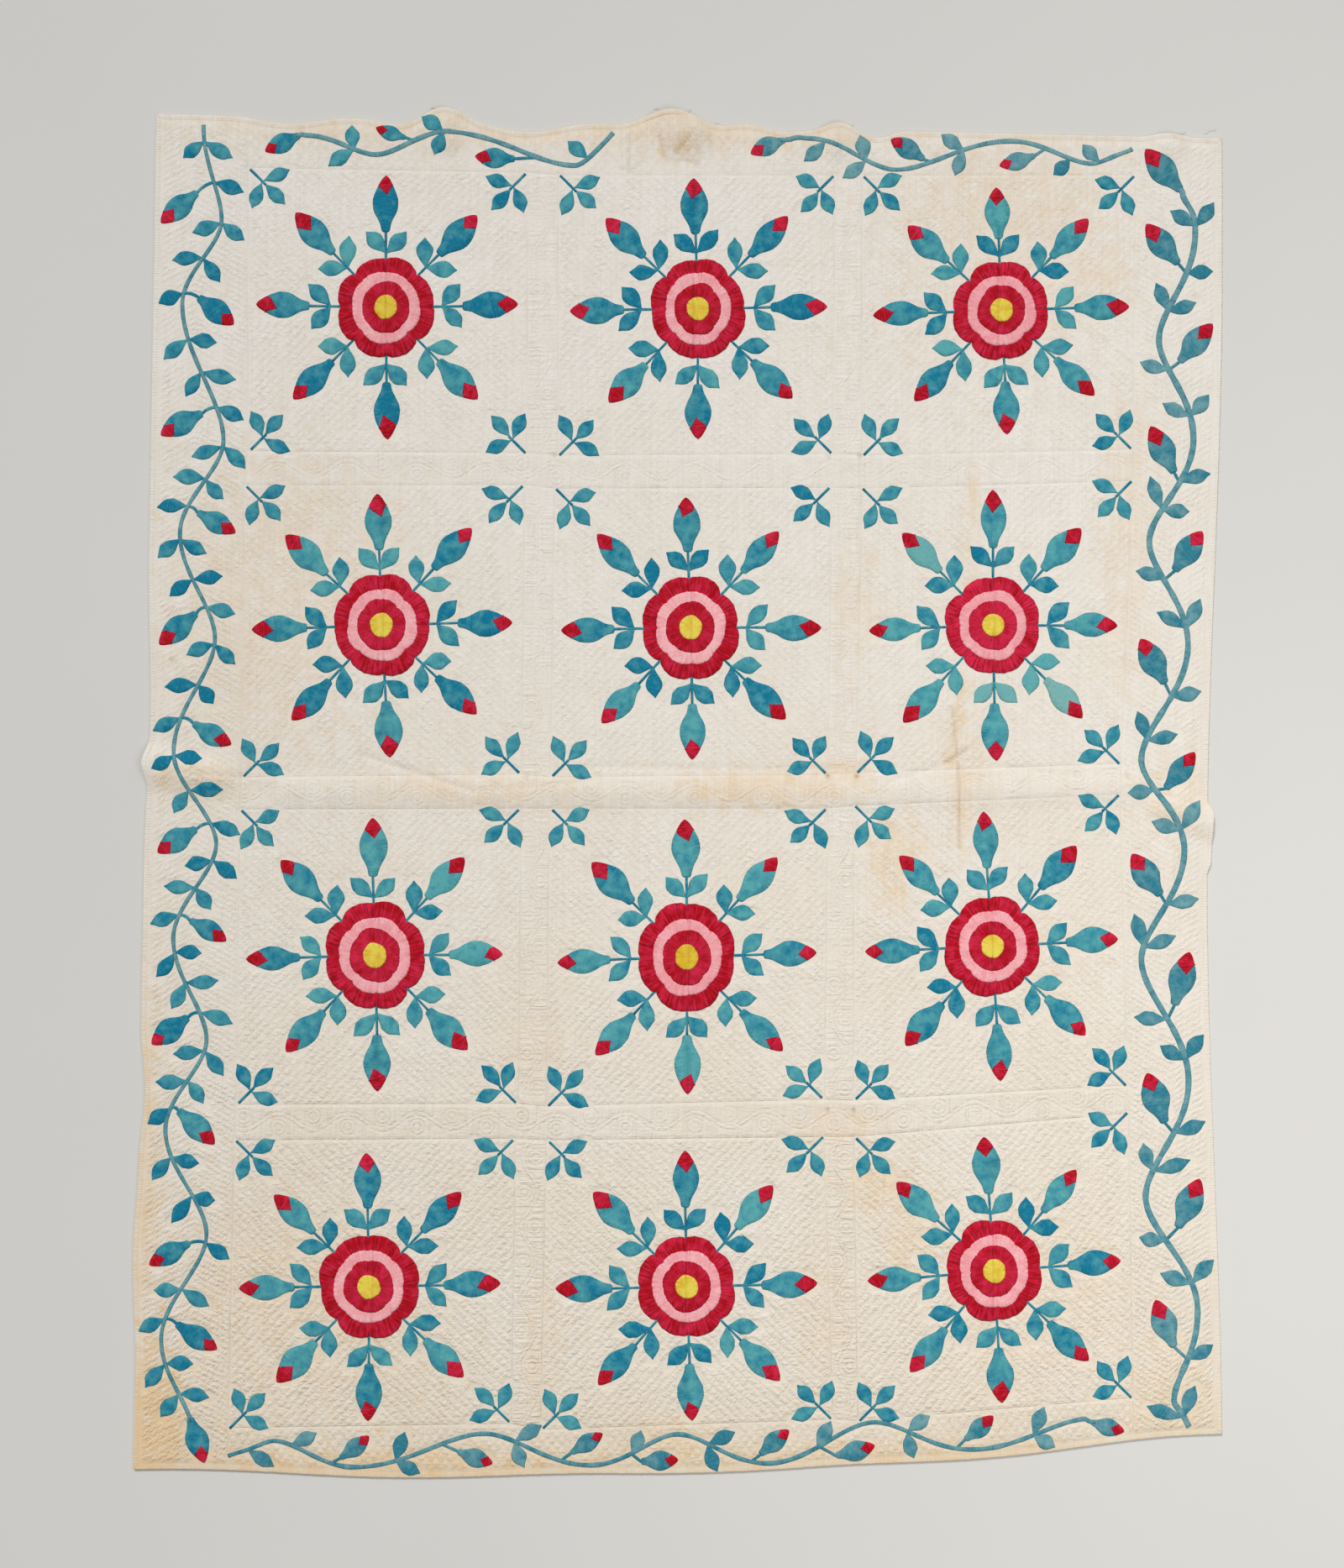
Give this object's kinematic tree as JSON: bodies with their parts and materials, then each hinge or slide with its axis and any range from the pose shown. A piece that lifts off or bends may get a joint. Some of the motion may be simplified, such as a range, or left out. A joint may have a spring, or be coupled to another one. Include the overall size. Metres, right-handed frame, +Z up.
{
  "type": "applique quilt",
  "caption": "Quilted cotton bed quilt laid flat, with sewn-on roses on rayed sprays of buds and leaves, a winding vine border and a narrow bound edge.",
  "frame": {"origin": "middle of the quilt's outline, on the surface that its underside lies on", "axes": "+X to the right of the face, +Y towards the quilt's top edge, +Z up out of the face"},
  "size_m": [1.802, 2.2677, 0.0145],
  "materials": {
    "quilt_cotton": "matte plain-weave cotton, quilted, aged ivory",
    "binding_cotton": "matte folded cotton strip, overcast along the edge",
    "blue_cotton": "matte teal blue cotton, unevenly faded",
    "red_cotton": "matte crimson cotton, mottled",
    "pink_cotton": "matte pink cotton",
    "yellow_cotton": "matte yellow cotton"
  },
  "bodies": {
    "root": {"ground": "quilt_cotton", "binding_top": "binding_cotton", "binding_bottom": "binding_cotton", "binding_left": "binding_cotton", "binding_right": "binding_cotton", "spray_r1c1": "blue_cotton", "rose_r1c1": "red_cotton", "rose_ring_r1c1": "pink_cotton", "rose_centre_r1c1": "yellow_cotton", "spray_r1c2": "blue_cotton", "rose_r1c2": "red_cotton", "rose_ring_r1c2": "pink_cotton", "rose_centre_r1c2": "yellow_cotton", "spray_r1c3": "blue_cotton", "rose_r1c3": "red_cotton", "rose_ring_r1c3": "pink_cotton", "rose_centre_r1c3": "yellow_cotton", "spray_r2c1": "blue_cotton", "rose_r2c1": "red_cotton", "rose_ring_r2c1": "pink_cotton", "rose_centre_r2c1": "yellow_cotton", "spray_r2c2": "blue_cotton", "rose_r2c2": "red_cotton", "rose_ring_r2c2": "pink_cotton", "rose_centre_r2c2": "yellow_cotton", "spray_r2c3": "blue_cotton", "rose_r2c3": "red_cotton", "rose_ring_r2c3": "pink_cotton", "rose_centre_r2c3": "yellow_cotton", "spray_r3c1": "blue_cotton", "rose_r3c1": "red_cotton", "rose_ring_r3c1": "pink_cotton", "rose_centre_r3c1": "yellow_cotton", "spray_r3c2": "blue_cotton", "rose_r3c2": "red_cotton", "rose_ring_r3c2": "pink_cotton", "rose_centre_r3c2": "yellow_cotton", "spray_r3c3": "blue_cotton", "rose_r3c3": "red_cotton", "rose_ring_r3c3": "pink_cotton", "rose_centre_r3c3": "yellow_cotton", "spray_r4c1": "blue_cotton", "rose_r4c1": "red_cotton", "rose_ring_r4c1": "pink_cotton", "rose_centre_r4c1": "yellow_cotton", "spray_r4c2": "blue_cotton", "rose_r4c2": "red_cotton", "rose_ring_r4c2": "pink_cotton", "rose_centre_r4c2": "yellow_cotton", "spray_r4c3": "blue_cotton", "rose_r4c3": "red_cotton", "rose_ring_r4c3": "pink_cotton", "rose_centre_r4c3": "yellow_cotton", "vine_left": "blue_cotton", "vine_right": "blue_cotton", "vine_top_left": "blue_cotton", "vine_top_right": "blue_cotton", "vine_bottom": "blue_cotton"}
  },
  "joints": []
}
